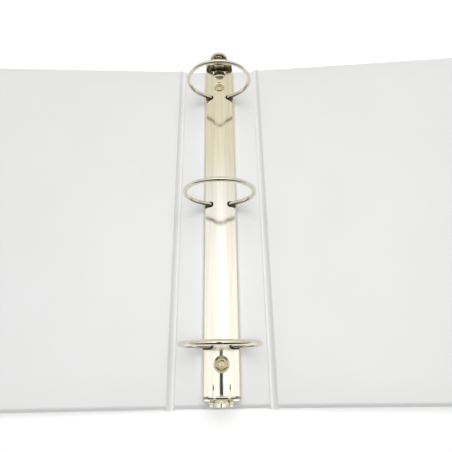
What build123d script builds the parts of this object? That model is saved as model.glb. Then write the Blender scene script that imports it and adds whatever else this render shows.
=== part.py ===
from build123d import *
from math import asin, atan2, cos, degrees, radians, sin, sqrt, tan
import os

# Three-ring binder for letter-size sheets, lying open on its back. Millimetres.
#
# X runs across the open case: the front cover lies at -X, the back cover at +X.
# Y runs along the spine, with the near end at -Y. Z is up and Z = 0 is the table.
# The origin is the centre of the spine's underside.
#
# The case is two vinyl sheets welded round three boards. Between the boards the sheets
# are welded to each other, and that web is the hinge. The ring metal is riveted to the
# inside of the spine: an arched housing holds two sprung leaves by their outer edges, the
# half rings stand on the leaves, and a lever at each end lifts the leaves where they meet.

# Case
CASE_LENGTH = 292.0  # along the spine, over the welded edges
SPINE_BOARD_WIDTH = 66.8
COVER_BOARD_WIDTH = 262.0
BOARD_THICKNESS = 2.3
VINYL = 0.35  # each sheet
WELD_BORDER = 3.0  # welded strip outside a board
CASE_CORNER = 4.0
WEB_SPAN = 4.9  # from the spine's side to a cover's side
HINGE_FROM_SPINE = 3.65  # the web bends this far out from the spine's side
HINGE_GAP = 0.1  # each half of a web stops this short of the hinge line
HINGE_RAISE = 2.0  # a cover's hinge edge stands this far above the spine's
FRONT_TILT = 3.4  # degrees, as the open covers lie
BACK_TILT = 4.5

# Housing of the ring metal
METAL_OFFSET = 2.0  # towards +Y of the case's middle
END_MARGIN = 6.3  # from the case's end to the housing's end, before the offset
HOUSING_WIDTH = 27.5
HOUSING_HEIGHT = 6.5
SHOULDER_SLOPE = 12.0  # degrees, from the crown down to the flank on each side
STEEL = 0.8  # housing sheet
RIM_WIDTH = 2.4  # over the rolled rim
RIM_HEIGHT = 1.75
RIM_BEND = 1.1
SHOULDER_BEND = 2.0
CROWN_BEND = 28.0  # the crown is an arc of this radius between the shoulders

# Leaves
LEAF_THICKNESS = 0.9
LEAF_GAP = 0.15  # each leaf stops this short of the middle
LEAF_SIDE_CLEARANCE = 0.3  # from a leaf's outer edge to the flank
LEAF_PIVOT_HEIGHT = 2.4  # above the spine's inner face
LEAF_REST_DIP = 3.0  # degrees below level while the rings are shut
LEAF_END_CLEARANCE = 0.4  # from the lever's curl

# Rings
RING_PITCH = 107.95
RING_INSIDE_RADIUS = 25.4
WIRE_RADIUS = 1.75
RING_RISE = 32.3  # the ring's centre above the spine's inner face
LEG_X = 8.6  # where a ring's leg stands on its leaf
LEG_BEND = 2.6
SHANK_RADIUS = 1.2
SHANK_CLEARANCE = 0.02
STAKE_RADIUS = 1.9
STAKE_HEIGHT = 0.35
LAP = 1.2  # half length of the lapped tips
LAP_CLEARANCE = 0.08
SLOT_CLEARANCE = 0.85  # along the housing, each side of the wire
SLOT_INNER_CLEARANCE = 1.15  # from the leg to the slot's inner end
SLOT_FLOOR = 2.9  # the slots run down the flanks to this height

# Rivets
RIVET_INSET = 19.7  # from the housing's end
DISH_RADIUS = 5.6
DISH_DEPTH = 1.1
DISH_WALL = 0.8  # plan width of the dish's sloping wall
RIVET_SHANK_RADIUS = 2.8
RIVET_CLEARANCE = 0.1
RIVET_HEAD_RADIUS = 4.4
RIVET_HEAD_HEIGHT = 0.9
RIVET_COLLAR_RADIUS = 3.6  # the part that stands between spine and housing
CRATER_RADIUS = 2.7
CRATER_DEPTH = 0.65
BOSS_RADIUS = 1.5
WASHER_RADIUS = 5.0
WASHER_THICKNESS = 0.5
CLENCH_RADIUS = 3.8
CLENCH_THICKNESS = 0.4
LEAF_RIVET_CLEARANCE = 0.6

# End tabs of the crown
TAB_LENGTH = 7.4
TAB_ROOT_HALF = 5.8
TAB_END_HALF = 4.7
TAB_DROP = 3.0  # degrees
TAB_SLIT = 0.4

# Levers
LEVER_PIVOT_INSET = 3.4  # from the housing's end
PIVOT_HEIGHT = 2.0
PIN_RADIUS = 0.8
PIN_CLEARANCE = 0.05
CURL_RADIUS = 1.5
LIP_REACH = 3.6
LIP_THICKNESS = 0.8
LIP_LEAF_GAP = 0.25
LIP_HALF = 3.0
LEVER_STEEL = 1.0
ARM_HALF = 9.3
WALL_GAP = 0.8  # from the housing's end to the lever's wall
WALL_HALF = 13.0
WALL_TOP = 13.5
WALL_LEAN = 0.6
WALL_CORNER = 2.0
LEDGE_HALF = 8.0
LEDGE_OUT = 0.9
LEDGE_UP = 2.3
THUMB_HALF = 8.2
THUMB_TOP = 27.5
THUMB_LEAN = 0.5
DIMPLE_RADIUS = 1.7
DIMPLE_DEEP = 1.0
DIMPLE_COLLAR = 1.2
DIMPLE_COLLAR_HEIGHT = 0.5
DIMPLE_BELOW_TOP = 5.4
RIM_FLANGE = 1.2
RIM_FLANGE_WIDTH = 1.0

# Worked out from the sizes above
SPINE_TOP = BOARD_THICKNESS + 2 * VINYL
SPINE_SIDE = SPINE_BOARD_WIDTH / 2 + VINYL
WELD = 2 * VINYL
HOUSING_HALF = CASE_LENGTH / 2 - END_MARGIN
FLANK_X = HOUSING_WIDTH / 2
PIVOT_X = FLANK_X - STEEL - LEAF_SIDE_CLEARANCE
PIVOT_Z = SPINE_TOP + LEAF_PIVOT_HEIGHT
LEVER_PIVOT = HOUSING_HALF - LEVER_PIVOT_INSET
LEAF_HALF = LEVER_PIVOT - CURL_RADIUS - LEAF_END_CLEARANCE
RING_RADIUS = RING_INSIDE_RADIUS + WIRE_RADIUS
RING_Z = SPINE_TOP + RING_RISE
RIVET_Y = HOUSING_HALF - RIVET_INSET
CROWN_Z = SPINE_TOP + HOUSING_HEIGHT
SHOULDERS_MEET_Z = CROWN_Z + CROWN_BEND * (1 / cos(radians(SHOULDER_SLOPE)) - 1)
SHOULDER_CORNER_Z = SHOULDERS_MEET_Z - FLANK_X * tan(radians(SHOULDER_SLOPE))
PIN_Z = SPINE_TOP + PIVOT_HEIGHT
ENDS = {"near": -1, "far": 1}
SIDES = {"left": -1, "right": 1}
STATIONS = {"near": -RING_PITCH, "middle": 0.0, "far": RING_PITCH}


def save(piece, name):
    """Labels a finished piece and writes it to its own file."""
    piece.part.label = name
    export_step(piece.part, f"parts/{name}.step")


# Case ---------------------------------------------------------------------------------


def cover_plane(side, tilt):
    """The plane of a cover's underside: origin at its hinge edge, x outwards, z off its inner face."""
    lean = radians(tilt)
    return Plane(
        origin=(side * (SPINE_SIDE + WEB_SPAN), 0, HINGE_RAISE),
        x_dir=(side * cos(lean), 0, sin(lean)),
        z_dir=(-side * sin(lean), 0, cos(lean)),
    )


def strip(low, high, length, corner=0.0):
    """A rectangle from low to high across the panel, with its two outer corners rounded."""
    with Locations(((low + high) / 2, 0)):
        Rectangle(high - low, length)
    if corner:
        outer = vertices().group_by(Axis.X)[-1]
        fillet(outer, corner)


def make_panel(name, plane, low, high, border):
    """One panel of the case: outer skin, board and liner. low and high are the liner's side walls."""
    board_length = CASE_LENGTH - 2 * WELD_BORDER
    corner = CASE_CORNER if border else 0.0
    inner_corner = max(corner - border, 0.0)

    with BuildPart() as skin:
        with BuildSketch(plane):
            strip(low, high + border, CASE_LENGTH, corner)
        extrude(amount=VINYL)
    save(skin, f"{name}_outer_skin")

    with BuildPart() as board:
        with BuildSketch(plane.offset(VINYL)):
            strip(low + VINYL, high - VINYL, board_length, inner_corner)
        extrude(amount=BOARD_THICKNESS)
        if not border:
            with BuildSketch(plane.offset(VINYL)):
                with Locations(*rivet_places()):
                    Circle(RIVET_SHANK_RADIUS + RIVET_CLEARANCE)
            extrude(amount=BOARD_THICKNESS, mode=Mode.SUBTRACT)
            with BuildSketch(plane.offset(VINYL)):
                with Locations(*rivet_places()):
                    Circle(WASHER_RADIUS + RIVET_CLEARANCE)
            extrude(amount=WASHER_THICKNESS + CLENCH_THICKNESS, mode=Mode.SUBTRACT)
    save(board, f"{name}_board")

    with BuildPart() as liner:
        with BuildSketch(plane.offset(VINYL)):
            strip(low, high + border, CASE_LENGTH, corner)
        extrude(amount=VINYL)
        with BuildSketch(plane.offset(VINYL)):
            strip(low, high, board_length + 2 * VINYL, inner_corner + VINYL if corner else 0.0)
        extrude(amount=BOARD_THICKNESS + VINYL)
        with BuildSketch(plane.offset(VINYL)):
            strip(low + VINYL, high - VINYL, board_length, inner_corner)
        extrude(amount=BOARD_THICKNESS, mode=Mode.SUBTRACT)
        if not border:
            with BuildSketch(plane):
                with Locations(*rivet_places()):
                    Circle(RIVET_SHANK_RADIUS + RIVET_CLEARANCE)
            extrude(amount=SPINE_TOP, mode=Mode.SUBTRACT)
    save(liner, f"{name}_liner")


def rivet_places():
    """Where the two rivets stand, in plan."""
    return [(0, METAL_OFFSET + end * RIVET_Y) for end in ENDS.values()]


def make_web(name, side, tilt):
    """The welded web between the spine and a cover, cut at its hinge line into two halves."""
    slope = atan2(HINGE_RAISE, WEB_SPAN)
    along = Vector(cos(slope), sin(slope))
    across = Vector(-sin(slope), cos(slope))
    lean = radians(tilt)
    hinge = Vector(SPINE_SIDE + HINGE_FROM_SPINE, WELD + HINGE_RAISE * HINGE_FROM_SPINE / WEB_SPAN)
    cover_low = Vector(SPINE_SIDE + WEB_SPAN, HINGE_RAISE)
    cover_high = cover_low + Vector(-sin(lean), cos(lean)) * WELD
    spine_top = hinge - along * HINGE_GAP
    cover_top = hinge + along * HINGE_GAP
    halves = {
        "spine_half": [Vector(SPINE_SIDE, 0), Vector(SPINE_SIDE, WELD), spine_top, spine_top - across * WELD],
        "cover_half": [cover_low, cover_high, cover_top, cover_top - across * WELD],
    }
    for half, corners in halves.items():
        with BuildPart() as web:
            with BuildSketch(Plane.XZ):
                with BuildLine():
                    Polyline(*[(side * c.X, c.Y) for c in corners], close=True)
                make_face()
            extrude(amount=CASE_LENGTH / 2, both=True)
        save(web, f"{name}_web_{half}")


# Housing, rivets and pins ---------------------------------------------------------------


def end_tab(end):
    """The tab at one end of the crown: a strip of its arc, bent down and narrower at its end."""
    drop = radians(TAB_DROP)
    bend_y = METAL_OFFSET + end * (HOUSING_HALF - TAB_LENGTH)
    flat = Plane(origin=(0, bend_y, CROWN_Z), x_dir=(end, 0, 0), z_dir=(0, end * sin(drop), cos(drop)))
    with BuildPart() as tab:
        with BuildSketch(Plane.XZ.offset(-bend_y)):
            with Locations((0, CROWN_Z - CROWN_BEND)):
                Circle(CROWN_BEND)
                Circle(CROWN_BEND - STEEL, mode=Mode.SUBTRACT)
            with Locations((0, CROWN_Z)):
                Rectangle(2 * TAB_ROOT_HALF, 6 * STEEL, mode=Mode.INTERSECT)
        extrude(amount=TAB_LENGTH, dir=(0, end * cos(drop), -sin(drop)))
        with BuildSketch(flat.offset(STEEL)):
            with BuildLine():
                Polyline(
                    (-TAB_ROOT_HALF, -STEEL),
                    (TAB_ROOT_HALF, -STEEL),
                    (TAB_ROOT_HALF, 0),
                    (TAB_END_HALF, TAB_LENGTH),
                    (-TAB_END_HALF, TAB_LENGTH),
                    (-TAB_ROOT_HALF, 0),
                    close=True,
                )
            make_face()
        extrude(amount=-4 * STEEL, mode=Mode.INTERSECT)
    return tab.part


def make_housing():
    """The arched top plate: rolled rims, ring slots, dished rivet seats and bent end tabs."""
    half = [
        (FLANK_X - RIM_WIDTH, SPINE_TOP + RIM_HEIGHT),
        (FLANK_X - RIM_WIDTH, SPINE_TOP),
        (FLANK_X, SPINE_TOP),
        (FLANK_X, SHOULDER_CORNER_Z),
    ]
    outside = [(-x, z) for x, z in half] + [(0, SHOULDERS_MEET_Z)] + half[::-1]
    bends = [RIM_BEND, RIM_BEND, SHOULDER_BEND]
    dish_rim = CROWN_Z - CROWN_BEND + sqrt(CROWN_BEND**2 - DISH_RADIUS**2)
    slot_inner = LEG_X - WIRE_RADIUS - SLOT_INNER_CLEARANCE
    slot_half = WIRE_RADIUS + SLOT_CLEARANCE
    bend_line = HOUSING_HALF - TAB_LENGTH
    tabs = {end: end_tab(end) for end in ENDS.values()}

    with BuildPart() as housing:
        with BuildSketch(Plane.XZ.offset(-METAL_OFFSET)):
            with BuildLine():
                FilletPolyline(*outside, radius=[*bends, CROWN_BEND, *bends[::-1]])
                offset(amount=STEEL, side=Side.RIGHT)
            make_face()
        extrude(amount=HOUSING_HALF, both=True)

        # slots for the rings, open at the flanks
        with BuildSketch(Plane.XY.offset(SPINE_TOP + SLOT_FLOOR)):
            for side in SIDES.values():
                for station in STATIONS.values():
                    with Locations((side * (slot_inner + slot_half), METAL_OFFSET + station)):
                        Circle(slot_half)
                    with Locations((side * (slot_inner + slot_half + FLANK_X) / 2, METAL_OFFSET + station)):
                        Rectangle(FLANK_X - slot_inner - slot_half + STEEL, 2 * slot_half)
        extrude(amount=HOUSING_HEIGHT, mode=Mode.SUBTRACT)

        # dished seats for the rivets
        with BuildSketch(Plane.XY.offset(CROWN_Z - STEEL - DISH_DEPTH)):
            with Locations(*rivet_places()):
                Circle(DISH_RADIUS)
        extrude(amount=STEEL + 2 * DISH_DEPTH, mode=Mode.SUBTRACT)
        hole = RIVET_SHANK_RADIUS + RIVET_CLEARANCE
        floor = DISH_RADIUS - DISH_WALL
        for end in ENDS.values():
            with BuildSketch(Plane.XZ.offset(-METAL_OFFSET - end * RIVET_Y)):
                with BuildLine():
                    Polyline(
                        (hole, CROWN_Z - DISH_DEPTH),
                        (floor - DISH_WALL / 2, CROWN_Z - DISH_DEPTH),
                        (DISH_RADIUS - DISH_WALL / 4, dish_rim),
                        (DISH_RADIUS, dish_rim),
                        (DISH_RADIUS, dish_rim - STEEL),
                        (floor, CROWN_Z - DISH_DEPTH - STEEL),
                        (hole, CROWN_Z - DISH_DEPTH - STEEL),
                        close=True,
                    )
                make_face()
            revolve(axis=Axis((0, METAL_OFFSET + end * RIVET_Y, 0), (0, 0, 1)))

        # the crown's end is slit along its edges and bent down as a tab
        for end in ENDS.values():
            with BuildSketch(Plane.XY.offset(CROWN_Z - 2 * STEEL)):
                with Locations((0, METAL_OFFSET + end * (bend_line + TAB_LENGTH / 2))):
                    Rectangle(2 * (TAB_ROOT_HALF + TAB_SLIT), TAB_LENGTH)
            extrude(amount=3 * STEEL, mode=Mode.SUBTRACT)
            add(tabs[end])

        # holes for the lever pins
        for end in ENDS.values():
            with Locations((0, METAL_OFFSET + end * LEVER_PIVOT, PIN_Z)):
                Cylinder(PIN_RADIUS, HOUSING_WIDTH, rotation=(0, 90, 0), mode=Mode.SUBTRACT)
    save(housing, "housing")


def make_rivet(name, end):
    """A rivet with a cratered head, a collar under the housing and a clenched back end."""
    place = METAL_OFFSET + end * RIVET_Y
    seat = CROWN_Z - DISH_DEPTH
    top = seat + RIVET_HEAD_HEIGHT
    board_back = VINYL
    with BuildPart() as rivet:
        with BuildSketch(Plane.XZ.offset(-place)):
            with BuildLine():
                Polyline(
                    (0, board_back),
                    (CLENCH_RADIUS, board_back),
                    (CLENCH_RADIUS, board_back + CLENCH_THICKNESS),
                    (RIVET_SHANK_RADIUS, board_back + CLENCH_THICKNESS),
                    (RIVET_SHANK_RADIUS, SPINE_TOP),
                    (RIVET_COLLAR_RADIUS, SPINE_TOP),
                    (RIVET_COLLAR_RADIUS, seat - STEEL),
                    (RIVET_SHANK_RADIUS, seat - STEEL),
                    (RIVET_SHANK_RADIUS, seat),
                    (RIVET_HEAD_RADIUS, seat),
                    (RIVET_HEAD_RADIUS, seat + RIVET_HEAD_HEIGHT / 3),
                    (RIVET_HEAD_RADIUS - RIVET_HEAD_HEIGHT, top),
                    (CRATER_RADIUS, top),
                    (CRATER_RADIUS - CRATER_DEPTH / 2, top - CRATER_DEPTH),
                    (BOSS_RADIUS, top - CRATER_DEPTH),
                    (BOSS_RADIUS / 2, top - CRATER_DEPTH / 2),
                    (0, top - CRATER_DEPTH / 2),
                    close=True,
                )
            make_face()
        revolve(axis=Axis((0, place, 0), (0, 0, 1)))
    save(rivet, f"{name}_rivet")

    with BuildPart() as washer:
        with BuildSketch(Plane.XY.offset(board_back + CLENCH_THICKNESS)):
            with Locations((0, place)):
                Circle(WASHER_RADIUS)
                Circle(RIVET_SHANK_RADIUS + RIVET_CLEARANCE, mode=Mode.SUBTRACT)
        extrude(amount=WASHER_THICKNESS)
    save(washer, f"{name}_washer")


def make_pin(name, end):
    """A lever's pivot pin, held in the housing's flanks."""
    with BuildPart() as pin:
        with Locations((0, METAL_OFFSET + end * LEVER_PIVOT, PIN_Z)):
            Cylinder(PIN_RADIUS, HOUSING_WIDTH, rotation=(0, 90, 0))
    save(pin, f"{name}_lever_pin")


# Leaves and rings -----------------------------------------------------------------------


def leaf_plane(side):
    """A leaf's middle plane: origin on its pivot line, x towards the middle of the housing."""
    dip = radians(LEAF_REST_DIP)
    return Plane(
        origin=(side * PIVOT_X, METAL_OFFSET, PIVOT_Z),
        x_dir=(-side * cos(dip), 0, -sin(dip)),
        z_dir=(-side * sin(dip), 0, cos(dip)),
    )


def leg_places(side):
    """Where the rings' shanks pass through a leaf, in the leaf's own plane."""
    dip = radians(LEAF_REST_DIP)
    along = (PIVOT_X - LEG_X - sin(dip) * LEAF_THICKNESS / 2) / cos(dip)
    return {name: (along, -side * station) for name, station in STATIONS.items()}


def make_leaf(name, side):
    """A hinge leaf: a flat strip with holes for the shanks and room round the rivets."""
    plane = leaf_plane(side)
    reach = PIVOT_X - LEAF_GAP
    notch = RIVET_COLLAR_RADIUS + LEAF_RIVET_CLEARANCE
    with BuildPart() as leaf:
        with BuildSketch(plane.offset(-LEAF_THICKNESS / 2)):
            with Locations((reach / 2, 0)):
                Rectangle(reach, 2 * LEAF_HALF)
            with Locations(*[(PIVOT_X, end * RIVET_Y) for end in ENDS.values()]):
                Circle(notch, mode=Mode.SUBTRACT)
            with Locations(*leg_places(side).values()):
                Circle(SHANK_RADIUS + SHANK_CLEARANCE, mode=Mode.SUBTRACT)
        extrude(amount=LEAF_THICKNESS)
    save(leaf, f"{name}_leaf")


def make_half_ring(name, side, station, leg_place):
    """Half a ring: the arc from the lapped tip, the bend into the housing, the leg and its stake."""
    y = METAL_OFFSET + station
    bend_x = LEG_X + LEG_BEND
    reach = RING_RADIUS + LEG_BEND
    bend_z = RING_Z - sqrt(reach**2 - bend_x**2)
    toward = atan2(RING_Z - bend_z, bend_x)  # from the ring's centre down to the bend's centre
    tip = asin(LAP / RING_RADIUS)

    def on_ring(angle):
        return (side * RING_RADIUS * cos(angle), RING_Z + RING_RADIUS * sin(angle))

    def on_bend(angle):
        return (side * (bend_x + LEG_BEND * cos(angle)), bend_z + LEG_BEND * sin(angle))

    quarter = radians(90)
    half_turn = radians(180)
    meet = half_turn - toward
    top_face = leaf_plane(side).offset(LEAF_THICKNESS / 2)
    with BuildPart() as ring:
        with BuildLine(Plane.XZ.offset(-y)) as path:
            ThreePointArc(on_ring(quarter + tip), on_ring((quarter + tip - toward) / 2), on_ring(-toward))
            ThreePointArc(on_bend(meet), on_bend((meet + half_turn) / 2), on_bend(half_turn))
            Line(on_bend(half_turn), (side * LEG_X, PIVOT_Z - LEAF_THICKNESS))
        with BuildSketch(Plane(origin=path.line @ 0, z_dir=path.line % 0)):
            Circle(WIRE_RADIUS)
        sweep()
        split(bisect_by=top_face, keep=Keep.TOP)

        # the tips lap: the left one lies over the right one
        room = (RING_RADIUS + WIRE_RADIUS) * sin(tip) + LAP_CLEARANCE
        tip_z = RING_Z + RING_RADIUS
        with Locations((0, y, tip_z + side * (WIRE_RADIUS - LAP_CLEARANCE / 2))):
            Box(2 * room, 3 * WIRE_RADIUS, 2 * WIRE_RADIUS, mode=Mode.SUBTRACT)

        with BuildSketch(top_face):
            with Locations(leg_place):
                Circle(SHANK_RADIUS)
        extrude(amount=-LEAF_THICKNESS)
        with BuildSketch(top_face.offset(-LEAF_THICKNESS)):
            with Locations(leg_place):
                Circle(STAKE_RADIUS)
        extrude(amount=-STAKE_HEIGHT)
    save(ring, name)


# Levers ---------------------------------------------------------------------------------


def make_lever(name, end):
    """A lever: lip under the leaves, curl round the pin, arms, wall, ledge and thumb piece."""
    y0 = METAL_OFFSET + end * LEVER_PIVOT
    lip_top = PIVOT_Z - PIVOT_X * sin(radians(LEAF_REST_DIP)) - LEAF_THICKNESS / 2 - LIP_LEAF_GAP
    wall_y = METAL_OFFSET + end * (HOUSING_HALF + WALL_GAP)
    arm_top = PIN_Z + CURL_RADIUS
    wall_foot = arm_top - LEVER_STEEL
    wall_up = Vector(0, end * WALL_LEAN, SPINE_TOP + WALL_TOP - wall_foot)
    ledge_up = Vector(0, end * LEDGE_OUT, LEDGE_UP)
    thumb_rise = THUMB_TOP - WALL_TOP - LEDGE_UP
    thumb_up = Vector(0, end * THUMB_LEAN, thumb_rise)
    wall_start = Vector(0, wall_y, wall_foot)
    ledge_start = wall_start + wall_up
    thumb_start = ledge_start + ledge_up

    def sheet_plane(start, up):
        """A plane through start whose y runs up the sheet and whose z points out of the case."""
        across = Vector(-end, 0, 0)
        return Plane(origin=tuple(start), x_dir=tuple(across), z_dir=tuple(across.cross(up)))

    wall = sheet_plane(wall_start, wall_up)
    thumb = sheet_plane(thumb_start, thumb_up)
    with BuildPart() as lever:
        # curl, lip and arms
        with Locations((0, y0, PIN_Z)):
            Cylinder(CURL_RADIUS, 2 * ARM_HALF, rotation=(0, 90, 0))
        with Locations((0, y0 - end * LIP_REACH / 2, lip_top - LIP_THICKNESS / 2)):
            Box(2 * LIP_HALF, LIP_REACH, LIP_THICKNESS)
        arm = abs(wall_y - y0) + LEVER_STEEL / 2
        with Locations((0, y0 + end * arm / 2, arm_top - LEVER_STEEL / 2)):
            Box(2 * ARM_HALF, arm, LEVER_STEEL)

        # wall, with rounded top corners
        with BuildSketch(wall):
            with Locations((0, wall_up.length / 2)):
                Rectangle(2 * WALL_HALF, wall_up.length)
            fillet(vertices().group_by(Axis.Y)[-1], WALL_CORNER)
            fillet(vertices().group_by(Axis.Y)[0], LEVER_STEEL)
        extrude(amount=LEVER_STEEL)

        # ledge, from the wall's top out to the thumb piece
        ledge = sheet_plane(ledge_start, ledge_up)
        with BuildSketch(ledge):
            with Locations((0, ledge_up.length / 2)):
                Rectangle(2 * LEDGE_HALF, ledge_up.length + LEVER_STEEL / 2)
        extrude(amount=LEVER_STEEL)

        # thumb piece, with a flanged edge and a pressed dimple with a raised collar
        straight = thumb_up.length - THUMB_HALF
        with BuildSketch(thumb) as outline:
            with Locations((0, straight / 2)):
                Rectangle(2 * THUMB_HALF, straight)
            with Locations((0, straight)):
                Circle(THUMB_HALF)
            with Locations((0, -THUMB_HALF)):
                Rectangle(2 * THUMB_HALF, 2 * THUMB_HALF, mode=Mode.SUBTRACT)
        extrude(amount=LEVER_STEEL)
        with BuildSketch(thumb.offset(LEVER_STEEL)):
            add(outline.sketch_local)
            offset(amount=-RIM_FLANGE_WIDTH, mode=Mode.SUBTRACT)
            with Locations((0, 0)):
                Rectangle(2 * (THUMB_HALF - RIM_FLANGE_WIDTH), 4 * RIM_FLANGE_WIDTH, mode=Mode.SUBTRACT)
        extrude(amount=RIM_FLANGE)
        dimple = (0, thumb_up.length - DIMPLE_BELOW_TOP)
        with BuildSketch(thumb):
            with Locations(dimple):
                Circle(DIMPLE_RADIUS + DIMPLE_COLLAR)
        extrude(amount=-DIMPLE_COLLAR_HEIGHT)
        with BuildSketch(thumb.offset(-DIMPLE_COLLAR_HEIGHT)):
            with Locations(dimple):
                Circle(DIMPLE_RADIUS)
        extrude(amount=DIMPLE_DEEP, mode=Mode.SUBTRACT)

        # bore for the pin
        with Locations((0, y0, PIN_Z)):
            Cylinder(PIN_RADIUS + PIN_CLEARANCE, 3 * ARM_HALF, rotation=(0, 90, 0), mode=Mode.SUBTRACT)
    save(lever, f"{name}_lever")


os.makedirs("parts", exist_ok=True)

cover_width = COVER_BOARD_WIDTH + 2 * VINYL
make_panel("spine", Plane.XY, -SPINE_SIDE, SPINE_SIDE, 0.0)
make_panel("front", cover_plane(-1, FRONT_TILT), 0.0, cover_width, WELD_BORDER - VINYL)
make_panel("back", cover_plane(1, BACK_TILT), 0.0, cover_width, WELD_BORDER - VINYL)
make_web("front", -1, FRONT_TILT)
make_web("back", 1, BACK_TILT)

make_housing()
for end_name, end_sign in ENDS.items():
    make_rivet(end_name, end_sign)
    make_pin(end_name, end_sign)
    make_lever(end_name, end_sign)

for side_name, side_sign in SIDES.items():
    make_leaf(side_name, side_sign)
    places = leg_places(side_sign)
    for station_name, offset_y in STATIONS.items():
        ring_name = f"{station_name}_{side_name}_ring"
        make_half_ring(ring_name, side_sign, offset_y, places[station_name])

front_x = SPINE_SIDE + HINGE_FROM_SPINE
hinge_z = WELD + HINGE_RAISE * HINGE_FROM_SPINE / WEB_SPAN
print("hinge lines at x", front_x, "z", hinge_z)
print("leaf pivots at x", PIVOT_X, "z", PIVOT_Z)
print("lever pivots at y", METAL_OFFSET - LEVER_PIVOT, METAL_OFFSET + LEVER_PIVOT, "z", PIN_Z)
print("ring centre z", RING_Z, "radius", RING_RADIUS)
for label, tilt in (("front", FRONT_TILT), ("back", BACK_TILT)):
    edge_x = WEB_SPAN - HINGE_FROM_SPINE + (cover_width + WELD_BORDER - VINYL) * cos(radians(tilt))
    edge_z = HINGE_RAISE + (cover_width + WELD_BORDER - VINYL) * sin(radians(tilt)) - hinge_z
    drop = degrees(atan2(edge_z, edge_x) + asin(hinge_z / sqrt(edge_x**2 + edge_z**2)))
    print(label, "cover drops", round(drop, 3), "degrees to the table")
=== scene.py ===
"""Letter-size ring binder lying open on its back: a white vinyl case and its nickel ring metal.

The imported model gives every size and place. This script builds the visible pieces round it, dresses
them, and sets the floor, the lights and the camera. All lengths are metres in the model's frame:
X across the open case, Y along the spine with the near lever at -Y, Z up from the table.
"""

from __future__ import annotations

import logging
from collections.abc import Callable, Iterable
from dataclasses import dataclass, field
from enum import Enum
from math import atan2, cos, hypot, pi, radians, sin

import bmesh
import bpy
from mathutils import Matrix, Vector

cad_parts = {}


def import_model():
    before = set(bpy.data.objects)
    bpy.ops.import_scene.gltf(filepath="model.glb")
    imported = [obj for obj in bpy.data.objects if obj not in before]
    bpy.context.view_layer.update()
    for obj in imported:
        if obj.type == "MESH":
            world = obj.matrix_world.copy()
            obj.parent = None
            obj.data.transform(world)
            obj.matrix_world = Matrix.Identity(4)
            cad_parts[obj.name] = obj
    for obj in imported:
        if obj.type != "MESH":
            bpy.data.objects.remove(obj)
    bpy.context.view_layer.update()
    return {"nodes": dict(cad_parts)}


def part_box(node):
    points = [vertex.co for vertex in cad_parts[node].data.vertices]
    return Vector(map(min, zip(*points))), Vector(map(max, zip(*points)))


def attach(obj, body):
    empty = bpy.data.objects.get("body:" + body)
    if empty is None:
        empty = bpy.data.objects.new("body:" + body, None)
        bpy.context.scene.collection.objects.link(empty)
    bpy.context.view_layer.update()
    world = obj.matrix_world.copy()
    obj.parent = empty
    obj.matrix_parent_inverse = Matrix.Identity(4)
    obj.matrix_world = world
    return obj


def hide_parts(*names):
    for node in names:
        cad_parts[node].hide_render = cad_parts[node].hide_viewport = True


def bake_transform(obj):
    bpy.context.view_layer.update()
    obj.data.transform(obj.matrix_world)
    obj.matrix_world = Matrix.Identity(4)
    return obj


logging.basicConfig(level=logging.INFO, format="%(message)s")
log = logging.getLogger("binder")

MM = 0.001
VINYL = 0.35 * MM  # each sheet
WELDED_RIM = 2.65 * MM  # from the wall beside a board out to the case's edge
TINY = 0.02 * MM  # how near counts as the same place


class Side(Enum):
    """The two long sides of the case, as signs along X."""

    FRONT = -1
    BACK = 1


class End(Enum):
    """The two ends of the ring metal, as signs along Y."""

    NEAR = -1
    FAR = 1


# Colours and nodes ----------------------------------------------------------------------


def linear(code: str) -> tuple[float, float, float, float]:
    """Turns an sRGB hex colour into linear light.

    Args:
        code: Six hex digits, with or without a leading hash.

    Returns:
        Red, green, blue and an alpha of 1.
    """
    digits = code.lstrip("#")
    levels = [int(digits[i : i + 2], 16) / 255 for i in (0, 2, 4)]
    light = [v / 12.92 if v <= 0.04045 else ((v + 0.055) / 1.055) ** 2.4 for v in levels]
    return (light[0], light[1], light[2], 1.0)


def add_node(
    tree: bpy.types.NodeTree, kind: str, settings: dict | None = None, feeds: dict | None = None
) -> bpy.types.Node:
    """Adds a node to a tree.

    Args:
        tree: The node tree of a material or of the world.
        kind: The node's type name.
        settings: Properties to set on the node.
        feeds: For each input, by name or number, a socket to link from or a value.

    Returns:
        The new node.
    """
    node = tree.nodes.new(kind)
    for name, value in (settings or {}).items():
        setattr(node, name, value)
    for name, value in (feeds or {}).items():
        if isinstance(value, bpy.types.NodeSocket):
            tree.links.new(value, node.inputs[name])
        else:
            node.inputs[name].default_value = value
    return node


@dataclass(frozen=True)
class Finish:
    """What all finishes share: a material's name and its way of being made once."""

    name: str

    def build(self) -> bpy.types.Material:
        """Makes the material, or returns the one already made."""
        made = bpy.data.materials.get(self.name)
        if made is None:
            made = bpy.data.materials.new(self.name)
            made.use_nodes = True
            tree = made.node_tree
            tree.nodes.clear()
            shader = self.shader(tree)
            add_node(tree, "ShaderNodeOutputMaterial", {}, {"Surface": shader})
        return made

    def shader(self, tree: bpy.types.NodeTree) -> bpy.types.NodeSocket:
        """Builds the nodes and returns the socket of the finished shader."""
        raise NotImplementedError

    def dress(self, *pieces: bpy.types.Object) -> None:
        """Gives the pieces this finish all over."""
        for piece in pieces:
            piece.data.materials.clear()
            piece.data.materials.append(self.build())


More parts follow.
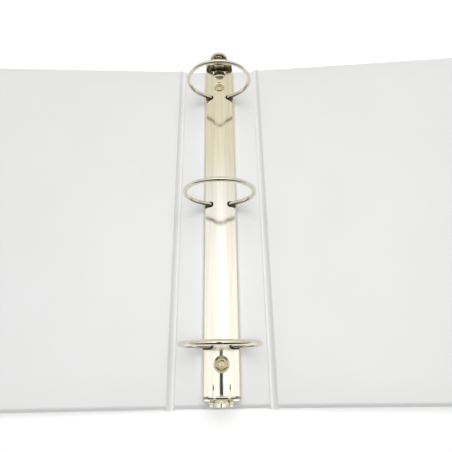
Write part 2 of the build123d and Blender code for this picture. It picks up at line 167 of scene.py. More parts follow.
@dataclass(frozen=True)
class CalenderedVinyl(Finish):
    """Plasticised PVC sheet, calendered and embossed with a fine grain.

    The roller leaves shallow pebbles about half a millimetre across and a satin gloss, and handling
    leaves areas that are slightly smoother. Two tones a shade apart stand for that and for faint dust.
    """

    tone: str = "#E5E5E5"
    worn_tone: str = "#DFDFDE"
    grain: float = 0.9 * MM  # real pebbles are 0.5 mm: drawn coarser so that they still show
    grain_depth: float = 0.02 * MM
    cloud: float = 60 * MM
    roughness: tuple[float, float] = (0.34, 0.46)
    ior: float = 1.53  # of PVC

    def shader(self, tree: bpy.types.NodeTree) -> bpy.types.NodeSocket:
        """Builds the vinyl's nodes."""
        place = add_node(tree, "ShaderNodeTexCoord").outputs["Object"]
        clouds = add_node(
            tree,
            "ShaderNodeTexNoise",
            {},
            {"Vector": place, "Scale": 1 / self.cloud, "Detail": 4.0, "Roughness": 0.55},
        )
        tones = add_node(
            tree,
            "ShaderNodeMix",
            {"data_type": "RGBA"},
            {"Factor": clouds.outputs["Fac"], "A": linear(self.tone), "B": linear(self.worn_tone)},
        )
        pebbles = add_node(
            tree,
            "ShaderNodeTexVoronoi",
            {"feature": "SMOOTH_F1"},
            {"Vector": place, "Scale": 1 / self.grain, "Smoothness": 0.6},
        )
        embossing = add_node(
            tree,
            "ShaderNodeBump",
            {},
            {"Height": pebbles.outputs["Distance"], "Distance": self.grain_depth, "Strength": 0.5},
        )
        gloss, dull = self.roughness
        roughness = add_node(
            tree,
            "ShaderNodeMapRange",
            {},
            {"Value": clouds.outputs["Fac"], "To Min": gloss, "To Max": dull},
        )
        skin = add_node(
            tree,
            "ShaderNodeBsdfPrincipled",
            {},
            {
                "Base Color": tones.outputs["Result"],
                "Roughness": roughness.outputs["Result"],
                "IOR": self.ior,
                "Normal": embossing.outputs["Normal"],
            },
        )
        return skin.outputs["BSDF"]


@dataclass(frozen=True)
class NickelPlate(Finish):
    """Low-carbon steel strip, rolled, pressed and bright nickel plated.

    The plating is a warm mirror. It keeps the strip's fine rolling lines, which run along the part, and
    handling leaves a few cloudy areas where it is a little less sharp.
    """

    tone: str = "#F3EFE4"
    dull_tone: str = "#DDD6C3"
    reflection_band_width: float = 2.4 * MM  # bands of painted reflection: the streaks that slight waviness from the rolls shows in the mirror
    line_width: float = 0.25 * MM  # real rolling lines are far finer: drawn coarser so that they still show
    line_length: float = 60 * MM
    line_depth: float = 0.0012 * MM
    cloud: float = 14 * MM
    roughness: tuple[float, float] = (0.07, 0.16)
    along: tuple[float, float, float] = (1.0, 0.0, 1.0)  # the axes the lines repeat along

    def drawn(
        self, tree: bpy.types.NodeTree, place: bpy.types.NodeSocket, width: float
    ) -> bpy.types.NodeSocket:
        """Makes a pattern of lines drawn out along the strip.

        Args:
            tree: The material's node tree.
            place: The socket of the Object coordinates.
            width: The spacing of the lines.

        Returns:
            The socket of the pattern, from 0 to 1.
        """
        stretch = tuple(1 / width if axis else 1 / self.line_length for axis in self.along)
        mapping = add_node(tree, "ShaderNodeMapping", {}, {"Vector": place, "Scale": stretch})
        lines = add_node(
            tree, "ShaderNodeTexNoise", {}, {"Vector": mapping.outputs["Vector"], "Scale": 1.0, "Detail": 2.0}
        )
        return lines.outputs["Fac"]

    def shader(self, tree: bpy.types.NodeTree) -> bpy.types.NodeSocket:
        """Builds the plating's nodes."""
        place = add_node(tree, "ShaderNodeTexCoord").outputs["Object"]
        clouds = add_node(
            tree, "ShaderNodeTexNoise", {}, {"Vector": place, "Scale": 1 / self.cloud, "Detail": 5.0}
        )
        # bands of the duller tone along the strip are painted reflection, for the streaks that its waviness
        # shows
        painted_reflection_bands = self.drawn(tree, place, self.reflection_band_width)
        tones = add_node(
            tree,
            "ShaderNodeMix",
            {"data_type": "RGBA"},
            {"Factor": painted_reflection_bands, "A": linear(self.tone), "B": linear(self.dull_tone)},
        )
        lines = self.drawn(tree, place, self.line_width)
        rolled = add_node(
            tree,
            "ShaderNodeBump",
            {},
            {"Height": lines, "Distance": self.line_depth, "Strength": 0.6},
        )
        gloss, dull = self.roughness
        roughness = add_node(
            tree,
            "ShaderNodeMapRange",
            {},
            {"Value": clouds.outputs["Fac"], "To Min": gloss, "To Max": dull},
        )
        plating = add_node(
            tree,
            "ShaderNodeBsdfPrincipled",
            {},
            {
                "Base Color": tones.outputs["Result"],
                "Metallic": 1.0,
                "Roughness": roughness.outputs["Result"],
                "Normal": rolled.outputs["Normal"],
            },
        )
        return plating.outputs["BSDF"]


@dataclass(frozen=True)
class GreyBoard(Finish):
    """Recycled chipboard, rolled from waste paper: a matt grey-brown felt of short fibres."""

    tone: str = "#A79C8A"
    fleck: str = "#7E7466"
    fibre: float = 1.2 * MM

    def shader(self, tree: bpy.types.NodeTree) -> bpy.types.NodeSocket:
        """Builds the board's nodes."""
        place = add_node(tree, "ShaderNodeTexCoord").outputs["Object"]
        fibres = add_node(
            tree, "ShaderNodeTexNoise", {}, {"Vector": place, "Scale": 1 / self.fibre, "Detail": 6.0}
        )
        tones = add_node(
            tree,
            "ShaderNodeMix",
            {"data_type": "RGBA"},
            {"Factor": fibres.outputs["Fac"], "A": linear(self.tone), "B": linear(self.fleck)},
        )
        felt = add_node(
            tree,
            "ShaderNodeBsdfPrincipled",
            {},
            {"Base Color": tones.outputs["Result"], "Roughness": 0.92, "IOR": 1.45},
        )
        return felt.outputs["BSDF"]


@dataclass(frozen=True)
class ZincPlate(Finish):
    """Zinc-plated steel washers: a bluish grey with a faint crystal mottle."""

    tone: str = "#B9BEC4"
    dull_tone: str = "#9FA5AC"
    crystal: float = 1.5 * MM

    def shader(self, tree: bpy.types.NodeTree) -> bpy.types.NodeSocket:
        """Builds the zinc's nodes."""
        place = add_node(tree, "ShaderNodeTexCoord").outputs["Object"]
        crystals = add_node(tree, "ShaderNodeTexVoronoi", {}, {"Vector": place, "Scale": 1 / self.crystal})
        tones = add_node(
            tree,
            "ShaderNodeMix",
            {"data_type": "RGBA"},
            {"Factor": crystals.outputs["Distance"], "A": linear(self.tone), "B": linear(self.dull_tone)},
        )
        zinc = add_node(
            tree,
            "ShaderNodeBsdfPrincipled",
            {},
            {"Base Color": tones.outputs["Result"], "Metallic": 1.0, "Roughness": 0.38},
        )
        return zinc.outputs["BSDF"]


# Modelling helpers ----------------------------------------------------------------------


def deselect_all() -> None:
    """Leaves object mode with nothing selected."""
    if bpy.context.object and bpy.context.object.mode != "OBJECT":
        bpy.ops.object.mode_set(mode="OBJECT")
    bpy.ops.object.select_all(action="DESELECT")


def activate(piece: bpy.types.Object) -> None:
    """Makes one piece the only selected and active one."""
    deselect_all()
    piece.select_set(True)
    bpy.context.view_layer.objects.active = piece


def settle(piece: bpy.types.Object) -> None:
    """Moves a piece's place into its mesh, so that its object is at the origin."""
    activate(piece)
    bpy.ops.object.transform_apply(location=True, rotation=True, scale=True)


def add_plane(name: str, low: tuple[float, float], high: tuple[float, float], z: float) -> bpy.types.Object:
    """Adds a flat rectangle, facing up.

    Args:
        name: The piece's name.
        low: Its lowest x and y.
        high: Its highest x and y.
        z: Its height.

    Returns:
        The new piece, with its place in its mesh.
    """
    deselect_all()
    centre = ((low[0] + high[0]) / 2, (low[1] + high[1]) / 2, z)
    bpy.ops.mesh.primitive_plane_add(size=1, location=centre)
    piece = bpy.context.object
    piece.name = piece.data.name = name
    piece.scale = (high[0] - low[0], high[1] - low[1], 1)
    settle(piece)
    return piece


def pick(piece: bpy.types.Object, kind: str, test: Callable[[Vector, Vector], bool]) -> None:
    """Selects vertices, edges or faces of a piece in edit mode, by their place.

    Args:
        piece: The piece, which is put in edit mode if it isn't.
        kind: VERT, EDGE or FACE.
        test: Says yes to an element, from its middle and its direction. The direction is a face's or a
            vertex's normal, or the line along an edge.
    """
    if piece.mode != "EDIT":
        activate(piece)
        bpy.ops.object.mode_set(mode="EDIT")
    bpy.ops.mesh.select_mode(type=kind)
    bpy.ops.mesh.select_all(action="DESELECT")
    mesh = bmesh.from_edit_mesh(piece.data)
    if kind == "VERT":
        elements = [(v, v.co, v.normal) for v in mesh.verts]
    elif kind == "EDGE":
        elements = [
            (e, (e.verts[0].co + e.verts[1].co) / 2, (e.verts[1].co - e.verts[0].co).normalized())
            for e in mesh.edges
        ]
    else:
        elements = [(f, f.calc_center_median(), f.normal) for f in mesh.faces]
    for element, middle, direction in elements:
        if test(middle, direction):
            element.select_set(True)
    mesh.select_flush_mode()
    bmesh.update_edit_mesh(piece.data)


def cut_across(points: Iterable[float], axis: int) -> None:
    """Cuts the piece in edit mode by planes square to an axis.

    Args:
        points: Where the planes cross the axis.
        axis: 0 for X, 1 for Y or 2 for Z.
    """
    normal = tuple(1.0 if i == axis else 0.0 for i in range(3))
    for value in points:
        place = tuple(value if i == axis else 0.0 for i in range(3))
        bpy.ops.mesh.select_all(action="SELECT")
        bpy.ops.mesh.bisect(plane_co=place, plane_no=normal)


def leave_edit() -> None:
    """Goes back to object mode."""
    bpy.ops.object.mode_set(mode="OBJECT")


def modify(piece: bpy.types.Object, kind: str, **settings: object) -> None:
    """Adds a modifier to a piece and applies it.

    Args:
        piece: The piece to change.
        kind: The modifier's type name.
        **settings: The modifier's properties.
    """
    activate(piece)
    modifier = piece.modifiers.new(kind.title(), kind)
    for name, value in settings.items():
        setattr(modifier, name, value)
    bpy.ops.object.modifier_apply(modifier=modifier.name)


def smooth(piece: bpy.types.Object, angle: float = 35.0) -> None:
    """Shades a piece smooth, except where its faces meet at more than an angle in degrees."""
    activate(piece)
    bpy.ops.object.shade_smooth_by_angle(angle=radians(angle))


def soften(node: bpy.types.Object, name: str, width: float, segments: int = 3) -> bpy.types.Object:
    """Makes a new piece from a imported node, with its sharp edges rounded as pressing leaves them.

    Args:
        node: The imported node, which is left as it is.
        name: The new piece's name.
        width: How far each rounding reaches from its edge.
        segments: How many faces each rounding has.

    Returns:
        The new piece.
    """
    deselect_all()
    piece = bpy.data.objects.new(name, node.data.copy())
    piece.data.name = name
    bpy.context.scene.collection.objects.link(piece)
    activate(piece)
    bpy.ops.mesh.customdata_custom_splitnormals_clear()
    bpy.ops.object.mode_set(mode="EDIT")
    bpy.ops.mesh.select_all(action="SELECT")
    bpy.ops.mesh.remove_doubles(threshold=TINY / 10)
    bpy.ops.mesh.dissolve_limited(angle_limit=radians(1.0))  # joins the triangles of each flat face
    leave_edit()
    modify(
        piece,
        "BEVEL",
        width=width,
        segments=segments,
        limit_method="ANGLE",
        angle_limit=radians(28),
        miter_outer="MITER_ARC",
    )
    smooth(piece, 32.0)
    return piece


def steps(low: float, high: float, count: int) -> list[float]:
    """Returns the places that divide low to high into count equal parts, without the ends."""
    return [low + (high - low) * i / count for i in range(1, count)]


# The case -------------------------------------------------------------------------------


@dataclass
class CasePanel:
    """One panel of the case: two vinyl sheets welded to each other round a board.

    A panel is built flat, with x running out from its hinge edge and z up out of its inner face, and is
    then laid in its place.
    """

    name: str
    body: str
    place: Matrix
    wall_low: float  # where the inner sheet stands up beside the board, along x
    wall_high: float
    rim_low: float  # width of the welded rim beyond each wall
    rim_high: float
    length: float
    height: float
    vinyl: float = VINYL
    end_rim: float = WELDED_RIM
    corner: float = 4.0 * MM
    edge_round: float = 1.0 * MM
    foot_round: float = 0.35 * MM
    torn_edge: float = 0.2 * MM
    weld_width: float = 0.3 * MM
    wall_slope: float = 2.05 * MM  # how far the wall's foot stands out from the board's edge
    weld_depth: float = 0.06 * MM
    cell: float = 22 * MM  # spacing of the cuts that let the sheet lie unevenly
    unevenness: float = 0.22 * MM  # from the lowest dip to the highest rise
    ripple: float = 70 * MM  # the size of one rise
    flat_margin: float = 6 * MM  # the sheet lies even this near its walls
    finish: Finish = field(default_factory=lambda: CalenderedVinyl("calendered_vinyl"))

    @property
    def half(self) -> float:
        """Half the panel's length over its welded rims."""
        return self.length / 2

    def outline(self, name: str, z: float) -> bpy.types.Object:
        """Makes the panel's flat outline, with a rim's width to spare where it meets a web."""
        low = self.wall_low - self.end_rim
        high = self.wall_high + self.end_rim
        piece = add_plane(name, (low, -self.half), (high, self.half), z)
        if self.rim_high:
            pick(piece, "VERT", lambda p, n: p.x > self.wall_high)
            bpy.ops.mesh.bevel(offset=self.corner, segments=6, affect="VERTICES")
        leave_edit()
        return piece

    def trim(self, piece: bpy.types.Object) -> None:
        """Cuts the outline back to the wall at each edge that has no rim."""
        for edge, rim, normal in ((self.wall_low, self.rim_low, -1), (self.wall_high, self.rim_high, 1)):
            if not rim:
                pick(piece, "FACE", lambda p, n: True)
                bpy.ops.mesh.bisect(plane_co=(edge, 0, 0), plane_no=(normal, 0, 0), clear_outer=True)

    def inner_sheet(self) -> bpy.types.Object:
        """Makes the inner sheet: a welded rim, a wall round the board and a flat top with soft edges."""
        base = 2 * self.vinyl
        piece = self.outline(f"{self.name}_inner_vinyl", base)
        pick(piece, "FACE", lambda p, n: True)
        # inside its torn edge the weld is pressed a little into the rim, up to where the wall will stand
        to_wall = self.end_rim - self.torn_edge - self.weld_width
        for inward, rise in (
            (self.torn_edge, -self.weld_depth),
            (self.weld_width, 0.0),
            (to_wall, self.weld_depth),
        ):
            bpy.ops.mesh.inset(thickness=inward, use_even_offset=True)
            bpy.ops.transform.translate(value=(0, 0, rise))
        inner_half = self.half - self.end_rim
        self.trim(piece)
        pick(piece, "FACE", lambda p, n: self.wall_low < p.x < self.wall_high and abs(p.y) < inner_half / 2)
        bpy.ops.mesh.extrude_region_move(TRANSFORM_OT_translate={"value": (0, 0, self.height - base)})
        self.spread_foot(piece, base)

        # the corners beside a web, then the rounded edge over the board and the crease at its foot
        pick(piece, "EDGE", lambda p, d: abs(d.z) > 0.9 and not self.has_rim_at(p.x))
        bpy.ops.mesh.bevel(offset=self.edge_round, segments=4)
        pick(piece, "EDGE", lambda p, d: p.z > self.height - TINY and abs(d.z) < 0.1)
        bpy.ops.mesh.bevel(offset=self.edge_round, segments=4)
        pick(piece, "EDGE", lambda p, d: abs(p.z - base) < TINY and self.on_foot(p))
        bpy.ops.mesh.bevel(offset=self.foot_round, segments=2)

        # cuts, so that the sheet over the board can lie slightly uneven
        across = max(2, round((self.wall_high - self.wall_low) / self.cell))
        along = round(self.length / self.cell)
        cut_across(steps(self.wall_low, self.wall_high, across), 0)
        cut_across(steps(-inner_half, inner_half, along), 1)
        leave_edit()
        self.unsettle(piece)
        modify(piece, "SOLIDIFY", thickness=self.vinyl, offset=-1)
        return piece

    def spread_foot(self, piece: bpy.types.Object, base: float) -> None:
        """Pushes the wall's foot outwards, so that the stretched sheet slopes down to its weld.

        Args:
            piece: The inner sheet.
            base: The height of its welded rim.
        """
        inner_half = self.half - self.end_rim
        turn = self.corner - self.end_rim
        mesh = bmesh.from_edit_mesh(piece.data)
        for vertex in mesh.verts:
            p = vertex.co
            inside = p.x < self.wall_high + TINY and abs(p.y) < inner_half + TINY
            if abs(p.z - base) > TINY or not inside:
                continue
            across = max(0.0, p.x - (self.wall_high - turn)) if self.rim_high else 0.0
            along = max(0.0, abs(p.y) - (inner_half - turn))
            if hypot(across, along) < turn - TINY:
                continue
            out = Vector((across, along if p.y > 0 else -along, 0)).normalized()
            vertex.co += out * self.wall_slope
        bmesh.update_edit_mesh(piece.data)

    def has_rim_at(self, x: float) -> bool:
        """Says whether the wall at x has a welded rim beside it."""
        near_low = abs(x - self.wall_low) < abs(x - self.wall_high)
        return bool(self.rim_low if near_low else self.rim_high)

    def on_foot(self, p: Vector) -> bool:
        """Says whether a point is on the line where the wall meets a rim."""
        foot_half = self.half - self.end_rim + self.wall_slope
        foot_high = self.wall_high + self.wall_slope
        beside = self.wall_low + TINY < p.x < foot_high - TINY
        at_end = abs(abs(p.y) - foot_half) < TINY and beside
        at_rim = self.rim_high and abs(p.x - foot_high) < TINY and abs(p.y) < foot_half
        corner = (
            self.rim_high
            and foot_high - self.corner < p.x < foot_high + TINY
            and foot_half - self.corner < abs(p.y) < foot_half + TINY
        )
        return bool(at_end or at_rim or corner)

    def unsettle(self, piece: bpy.types.Object) -> None:
        """Lets the sheet over the board rise and fall by a fraction of a millimetre."""
        group = piece.vertex_groups.new(name="over_board")
        low = self.wall_low + self.flat_margin
        high = self.wall_high - self.flat_margin
        reach = self.half - self.end_rim - self.flat_margin
        for vertex in piece.data.vertices:
            p = vertex.co
            if low < p.x < high and abs(p.y) < reach and p.z > self.height - TINY:
                group.add([vertex.index], 1.0, "REPLACE")
        ripple = bpy.data.textures.new(f"{self.name}_ripple", "CLOUDS")
        ripple.noise_scale = self.ripple
        modify(
            piece,
            "DISPLACE",
            texture=ripple,
            texture_coords="LOCAL",
            direction="Z",
            strength=self.unevenness,
            mid_level=0.5,
            vertex_group=group.name,
        )
        bpy.data.textures.remove(ripple)

    def outer_sheet(self) -> bpy.types.Object:
        """Makes the outer sheet, which lies flat under the board."""
        piece = self.outline(f"{self.name}_outer_vinyl", 0.0)
        self.trim(piece)
        cut_across(steps(self.wall_low, self.wall_high, 4), 0)
        cut_across(steps(-self.half, self.half, 6), 1)
        leave_edit()
        modify(piece, "SOLIDIFY", thickness=self.vinyl, offset=1)
        modify(piece, "BEVEL", width=0.1 * MM, segments=2, limit_method="ANGLE")
        return piece

    def build(self) -> list[bpy.types.Object]:
        """Builds, places and dresses the panel's two sheets."""
        stands_for = {self.inner_sheet(): f"{self.name}_liner", self.outer_sheet(): f"{self.name}_outer_skin"}
        for piece, node in stands_for.items():
            piece.matrix_world = self.place
            settle(piece)
            smooth(piece)
            self.finish.dress(piece)
            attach(piece, self.body)
            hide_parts(node)
            log.info("%s: %d faces, stands for %s", piece.name, len(piece.data.polygons), node)
        return list(stands_for)


@dataclass
class HingeWeb:
    """The strip between two boards where both sheets are welded together and bend."""

    name: str
    side: Side
    body: str
    spine_edge: Vector  # in the XZ plane: where the web leaves the spine, on its upper face
    cover_edge: Vector
    length: float
    thickness: float = 2 * VINYL
    strips: int = 24  # from the spine to the cover
    lengths: int = 12  # along the spine
    ridge: float = 0.1 * MM  # the pressed lines of the weld
    lift: float = 0.85 * MM  # the sheets bulge up between the boards
    bank: float = 1.0 * MM  # how far the sheet climbs from there to each board's edge
    bank_share: float = 0.5  # of the web's width, on each side
    finish: Finish = field(default_factory=lambda: CalenderedVinyl("calendered_vinyl"))

    def height(self, t: float) -> float:
        """The web's upper face at a share t of the way from the spine to the cover.

        Args:
            t: 0 at the spine and 1 at the cover.

        Returns:
            The height above the table.
        """
        ease = t * t * (3 - 2 * t)
        rise = self.spine_edge.z + (self.cover_edge.z - self.spine_edge.z) * (0.5 * t + 0.5 * ease)
        climb = max(0.0, 1 - min(t, 1 - t) / self.bank_share)
        return rise + self.lift + self.ridge * sin(3 * pi * t) ** 2 + self.bank * climb**2

    def build(self) -> bpy.types.Object:
        """Builds the web, curved between the spine and its cover."""
        low, high = sorted((self.spine_edge.x, self.cover_edge.x))
        half = self.length / 2
        piece = add_plane(self.name, (low, -half), (high, half), 0.0)
        pick(piece, "FACE", lambda p, n: True)
        cut_across(steps(low, high, self.strips), 0)
        cut_across(steps(-half, half, self.lengths), 1)
        span = high - low
        for i in range(self.strips + 1):
            x = low + span * i / self.strips
            pick(piece, "VERT", lambda p, n: abs(p.x - x) < span / self.strips / 4)
            t = abs(x - self.spine_edge.x) / span
            bpy.ops.transform.translate(value=(0, 0, self.height(t)))
        leave_edit()
        modify(piece, "SOLIDIFY", thickness=self.thickness, offset=-1)
        smooth(piece, 50.0)
        self.finish.dress(piece)
        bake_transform(piece)
        side = self.side.name.lower()
        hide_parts(f"{side}_web_spine_half", f"{side}_web_cover_half")
        log.info("%s: %d faces, bends between spine and %s", piece.name, len(piece.data.polygons), self.body)
        return piece


@dataclass
class Case:
    """The vinyl case: a spine and two covers, joined by their webs."""

    rim: float = WELDED_RIM
    vinyl: float = VINYL

    def cover_place(self, side: Side) -> tuple[Matrix, float]:
        """Finds how a cover lies, from the box of its outer skin.

        Args:
            side: Which cover.

        Returns:
            The matrix that lays a flat panel in its place, and the panel's width over its rim.
        """
        name = side.name.lower()
        low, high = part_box(f"{name}_outer_skin")
        hinge_x = max(low.x, high.x) if side is Side.FRONT else min(low.x, high.x)
        # the skin's thickness leans its hinge edge a little over the hinge line
        run = abs((low.x if side is Side.FRONT else high.x) - hinge_x)
        rise = high.z - low.z - self.vinyl
        tilt = atan2(rise, run)
        hinge_x += side.value * self.vinyl * sin(tilt)
        width = hypot(run - self.vinyl * sin(tilt), rise)
        across = Vector((side.value * cos(tilt), 0, sin(tilt)))
        up = Vector((-side.value * sin(tilt), 0, cos(tilt)))
        along = up.cross(across)
        place = Matrix((across, along, up)).transposed().to_4x4()
        place.translation = Vector((hinge_x, 0, low.z))
        log.info("%s cover leans %.2f degrees and is %.1f mm wide", name, tilt * 180 / pi, width / MM)
        return place, width

    def build(self) -> None:
        """Builds the panels and the webs."""
        low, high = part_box("spine_liner")
        length = high.y - low.y
        height = high.z  # the spine's outer face lies on the table
        CasePanel(
            name="spine",
            body="spine",
            place=Matrix.Identity(4),
            wall_low=low.x,
            wall_high=high.x,
            rim_low=0.0,
            rim_high=0.0,
            length=length,
            height=height,
        ).build()
        for side in Side:
            name = side.name.lower()
            place, width = self.cover_place(side)
            CasePanel(
                name=name,
                body=f"{name}_cover",
                place=place,
                wall_low=0.0,
                wall_high=width - self.rim,
                rim_low=0.0,
                rim_high=self.rim,
                length=length,
                height=height,
            ).build()
            spine_edge = Vector((low.x if side is Side.FRONT else high.x, 0, 2 * self.vinyl))
            cover_edge = place @ Vector((0, 0, 2 * self.vinyl))
            HingeWeb(f"{name}_hinge_web", side, f"{name}_cover", spine_edge, cover_edge, length).build()


# The ring metal -------------------------------------------------------------------------


@dataclass
class RingMetal:
    """The ring metal: housing, leaves, half rings, rivets, pins and levers."""

    nickel: Finish = field(default_factory=lambda: NickelPlate("bright_nickel_plate"))
    satin: Finish = field(
        default_factory=lambda: NickelPlate(
            "barrel_nickel_plate", tone="#DDD3B4", dull_tone="#C6BA97", roughness=(0.16, 0.22)
        )
    )
    # the leaves are plain nickel plate: this dark tone is painted shade, for the shade inside the housing
    # that shows through its slots
    leaf_painted_shade: Finish = field(
        default_factory=lambda: NickelPlate(
            "nickel_with_painted_shade", tone="#6A6250", dull_tone="#4A4435", roughness=(0.3, 0.42)
        )
    )
    zinc: Finish = field(default_factory=lambda: ZincPlate("zinc_plate"))
    lever_round: float = 0.28 * MM  # the rounding that pressing leaves on an edge
    rivet_round: float = 0.42 * MM

    def dress(self, nodes: dict[str, bpy.types.Object]) -> None:
        """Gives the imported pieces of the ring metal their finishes.

        Args:
            nodes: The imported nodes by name.
        """
        for name, piece in nodes.items():
            for endings, finish in self.finishes().items():
                if name.endswith(endings):
                    finish.dress(piece)
                    log.info("%s is %s", name, finish.name)

    def round_off(self, nodes: dict[str, bpy.types.Object]) -> None:
        """Puts rounded pieces in the place of the levers and the rivets.

        Args:
            nodes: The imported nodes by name.
        """
        for end in End:
            place = end.name.lower()
            for node, body, width, finish in (
                (f"{place}_lever", f"{place}_lever", self.lever_round, self.nickel),
                (f"{place}_rivet", "spine", self.rivet_round, self.satin),
            ):
                piece = soften(nodes[node], f"{node}_rounded", width)
                finish.dress(piece)
                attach(piece, body)
                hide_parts(node)
                log.info("%s: %d faces, stands for %s", piece.name, len(piece.data.polygons), node)

    def finishes(self) -> dict[tuple[str, ...], Finish]:
        """Says which finish each kind of piece has, by the end of its name."""
        return {
            ("housing", "ring", "lever", "pin"): self.nickel,
            ("rivet",): self.satin,
            ("leaf",): self.leaf_painted_shade,
            ("washer",): self.zinc,
        }


# The studio -----------------------------------------------------------------------------


@dataclass
class Studio:
    """Floor, lights, surroundings and camera."""

    camera_place: tuple[float, float, float] = (6.2 * MM, -118.3 * MM, 341.8 * MM)
    tilt: float = 27.23  # degrees from straight down, towards the far end
    yaw: float = 0.22
    roll: float = -1.15
    lens: float = 33.23
    shift: float = -0.168
    floor_half: float = 1.6
    floor_drop: float = 0.2 * MM
    floor_tone: str = "#D0D0D0"
    floor_glow: float = 0.4  # light that the floor gives off itself, which keeps it near white
    matt: float = 0.9  # roughness of the floor and of the camera body
    room: str = "#FBFBFA"  # all round, as the camera sees it
    # the canopy's tones from behind the camera, at 0, to beyond the far end, at 1
    canopy: tuple[tuple[float, str], ...] = (
        (0.0, "#1A1610"),
        (0.25, "#332E22"),
        (0.33, "#F4F2EC"),
        (0.40, "#FFFFFF"),
        (0.60, "#FFFFFF"),
        (0.67, "#E2E3EA"),
        (0.72, "#D0CEC3"),
        (0.785, "#C6C3B3"),
        (1.0, "#ADA795"),
    )
    # its brightness from the middle, at 0, to either side, at 1
    canopy_sides: tuple[tuple[float, str], ...] = (
        (0.0, "#FFFFFF"),
        (0.08, "#FFFFFF"),
        (0.2, "#F6F6F6"),
        (0.41, "#E6E6E6"),
        (0.8, "#BEBEBE"),
        (1.0, "#A4A4A4"),
    )
    canopy_strength: float = 1.6
    key_power: float = 14.5
    fill_power: float = 51.0
    key_place: tuple[float, float, float] = (0.1, 0.3, 1.6)
    key_size: float = 1.2
    fill_place: tuple[float, float, float] = (0.0, 0.0, 2.4)
    fill_size: float = 3.5
    card_low: tuple[float, float] = (-46 * MM, -275 * MM)
    card_high: tuple[float, float] = (22 * MM, -93 * MM)
    card_height: float = 352 * MM
    card_tone: str = "#1C1812"

    def build(self) -> None:
        """Sets up everything round the binder."""
        scene = bpy.context.scene
        scene.view_settings.view_transform = "Standard"
        scene.view_settings.look = "None"
        self.floor()
        self.surroundings(scene)
        self.lights()
        self.camera(scene)

    def floor(self) -> None:
        """Lays a plain white floor under the binder."""
        half = self.floor_half
        floor = add_plane("floor", (-half, -half), (half, half), -self.floor_drop)
        finish = bpy.data.materials.new("matt_white_floor")
        finish.use_nodes = True
        paint = finish.node_tree.nodes["Principled BSDF"]
        paint.inputs["Base Color"].default_value = linear(self.floor_tone)
        paint.inputs["Roughness"].default_value = self.matt
        paint.inputs["Emission Color"].default_value = linear("#FFFFFF")
        paint.inputs["Emission Strength"].default_value = self.floor_glow
        floor.data.materials.append(finish)

    def surroundings(self, scene: bpy.types.Scene) -> None:
        """Surrounds the binder with what its metal mirrors.

        A broad white canopy hangs overhead. It is less bright and warmer towards the far end, and the
        room behind the camera is dark. The canopy lights nothing but gloss, because the soft lights
        do the rest, and the camera sees a plain pale room instead.

        Args:
            scene: The scene to set it in.
        """
        world = bpy.data.worlds.new("studio")
        scene.world = world
        world.use_nodes = True
        world.cycles_visibility.diffuse = False
        tree = world.node_tree
        tree.nodes.clear()
        direction = add_node(tree, "ShaderNodeTexCoord").outputs["Generated"]
        split = add_node(tree, "ShaderNodeSeparateXYZ", {}, {"Vector": direction})
        spread = add_node(
            tree,
            "ShaderNodeMapRange",
            {},
            {"Value": split.outputs["Y"], "From Min": -1.0, "From Max": 1.0},
        )
        aside = add_node(tree, "ShaderNodeMath", {"operation": "ABSOLUTE"}, {0: split.outputs["X"]})
        falloff = self.ramp(tree, aside.outputs["Value"], self.canopy_sides)
        # towards the far end the canopy is more even from side to side
        evenness = add_node(
            tree,
            "ShaderNodeMapRange",
            {},
            {"Value": split.outputs["Y"], "From Min": 0.25, "From Max": 0.5, "To Min": 0.0, "To Max": 0.6},
        )
        level = add_node(
            tree,
            "ShaderNodeMix",
            {"data_type": "FLOAT"},
            {"Factor": evenness.outputs["Result"], "A": falloff, "B": 1.0},
        )
        strength = add_node(
            tree,
            "ShaderNodeMath",
            {"operation": "MULTIPLY"},
            {0: level.outputs["Result"], 1: self.canopy_strength},
        )
        mirrored = add_node(
            tree,
            "ShaderNodeBackground",
            {},
            {
                "Color": self.ramp(tree, spread.outputs["Result"], self.canopy),
                "Strength": strength.outputs["Value"],
            },
        )
        plain = add_node(tree, "ShaderNodeBackground", {}, {"Color": linear(self.room)})
        seen = add_node(tree, "ShaderNodeLightPath").outputs["Is Camera Ray"]
        both = add_node(
            tree,
            "ShaderNodeMixShader",
            {},
            {0: seen, 1: mirrored.outputs["Background"], 2: plain.outputs["Background"]},
        )
        add_node(tree, "ShaderNodeOutputWorld", {}, {"Surface": both.outputs["Shader"]})

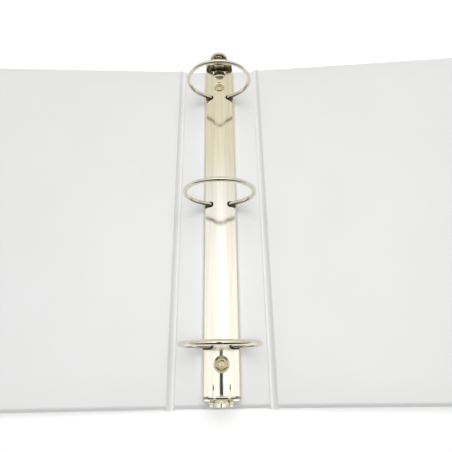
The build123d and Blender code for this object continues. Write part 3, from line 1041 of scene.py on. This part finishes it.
    def ramp(
        self, tree: bpy.types.NodeTree, factor: bpy.types.NodeSocket, stops: tuple[tuple[float, str], ...]
    ) -> bpy.types.NodeSocket:
        """Grades a 0 to 1 factor into tones.

        Args:
            tree: The world's node tree.
            factor: The socket of the factor.
            stops: The place and the tone of each stop.

        Returns:
            The socket of the tone.
        """
        ramp = add_node(tree, "ShaderNodeValToRGB", {}, {"Fac": factor})
        while len(ramp.color_ramp.elements) < len(stops):
            ramp.color_ramp.elements.new(0.5)
        for element, (place, tone) in zip(ramp.color_ramp.elements, stops):
            element.position = place
            element.color = linear(tone)
        return ramp.outputs["Color"]

    def lights(self) -> None:
        """Hangs a soft key and a broad fill, and the dark camera body that only the gloss shows."""
        self.softbox("key", self.key_place, self.key_size, self.key_power)
        self.softbox("fill", self.fill_place, self.fill_size, self.fill_power)
        card = add_plane("camera_body", self.card_low, self.card_high, self.card_height)
        black = bpy.data.materials.new("black_camera_body")
        black.use_nodes = True
        paint = black.node_tree.nodes["Principled BSDF"]
        paint.inputs["Base Color"].default_value = linear(self.card_tone)
        paint.inputs["Roughness"].default_value = self.matt
        card.data.materials.append(black)
        card.visible_camera = card.visible_diffuse = card.visible_shadow = card.visible_transmission = False

    def softbox(self, name: str, place: tuple[float, float, float], size: float, power: float) -> None:
        """Adds a square light that faces down and that metal doesn't mirror.

        Args:
            name: The light's name.
            place: Where it hangs.
            size: Its width and depth in metres.
            power: Its power in watts.
        """
        light = bpy.data.lights.new(name, "AREA")
        light.shape = "RECTANGLE"
        light.size = light.size_y = size
        light.energy = power
        lamp = bpy.data.objects.new(name, light)
        bpy.context.scene.collection.objects.link(lamp)
        lamp.location = place
        lamp.visible_glossy = False

    def camera(self, scene: bpy.types.Scene) -> None:
        """Sets the camera above the near end, looking down at the spine."""
        lens = bpy.data.cameras.new("camera")
        lens.lens = self.lens
        lens.shift_y = self.shift
        lens.clip_start = 0.01
        camera = bpy.data.objects.new("camera", lens)
        scene.collection.objects.link(camera)
        turn = (
            Matrix.Rotation(radians(self.yaw), 4, "Z")
            @ Matrix.Rotation(radians(self.tilt), 4, "X")
            @ Matrix.Rotation(radians(self.roll), 4, "Z")
        )
        camera.matrix_world = Matrix.Translation(self.camera_place) @ turn
        scene.camera = camera


def main() -> None:
    """Builds the binder and its surroundings."""
    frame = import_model()
    Case().build()
    metal = RingMetal()
    metal.dress(frame["nodes"])
    metal.round_off(frame["nodes"])
    board = GreyBoard("grey_board")
    board.dress(*(piece for name, piece in frame["nodes"].items() if name.endswith("board")))
    Studio().build()


if __name__ == "__main__":
    main()
